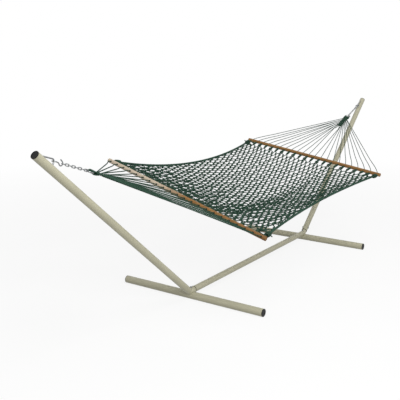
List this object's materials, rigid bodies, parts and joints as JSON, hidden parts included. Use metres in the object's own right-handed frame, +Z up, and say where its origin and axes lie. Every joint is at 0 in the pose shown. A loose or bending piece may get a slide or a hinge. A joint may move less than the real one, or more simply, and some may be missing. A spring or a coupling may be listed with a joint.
{
  "type": "hammock on stand",
  "caption": "Rope net hammock with wooden spreader bars, hung by chains and hooks between the raised ends of a bolted steel tube stand with two cross feet.",
  "frame": {"origin": "on the floor, under the middle of the stand", "axes": "+X along the hammock towards its far end, +Y towards its back edge, +Z up"},
  "size_m": [4.7708, 1.3862, 1.2806],
  "materials": {
    "powder_coat": "satin taupe powder coat",
    "black_plastic": "moulded, matt",
    "zinc": "zinc plated",
    "hardwood": "oiled oak",
    "rope": "soft spun polyester rope"
  },
  "bodies": {
    "stand": {"centre_beam": "powder_coat", "far_corner_bolt": "zinc", "far_corner_nut": "zinc", "far_corner_washer": "zinc", "far_foot": "powder_coat", "far_foot_back_plug": "black_plastic", "far_foot_front_plug": "black_plastic", "far_hook_loop": "zinc", "far_upright": "powder_coat", "far_upright_plug": "black_plastic", "near_corner_bolt": "zinc", "near_corner_nut": "zinc", "near_corner_washer": "zinc", "near_foot": "powder_coat", "near_foot_back_plug": "black_plastic", "near_foot_front_plug": "black_plastic", "near_hook_loop": "zinc", "near_upright": "powder_coat", "near_upright_plug": "black_plastic", "sleeve_bolt": "zinc", "sleeve_nut": "zinc"},
    "hammock": {"back_edge_rope": "rope", "bed_net": "rope", "far_back_knot": "rope", "far_chain": "zinc", "far_clew_cords": "rope", "far_clew_plait": "rope", "far_front_knot": "rope", "far_ring": "zinc", "far_s_hook": "zinc", "far_spreader_bar": "hardwood", "front_edge_rope": "rope", "near_back_knot": "rope", "near_chain": "zinc", "near_clew_cords": "rope", "near_clew_plait": "rope", "near_front_knot": "rope", "near_ring": "zinc", "near_s_hook": "zinc", "near_spreader_bar": "hardwood"}
  },
  "joints": [
    {"name": "hammock_swing", "type": "hinge", "parent": "stand", "child": "hammock", "pos_m": [0, 0, 1.208], "axis": [1, 0, 0], "range_deg": [-30, 30]}
  ]
}
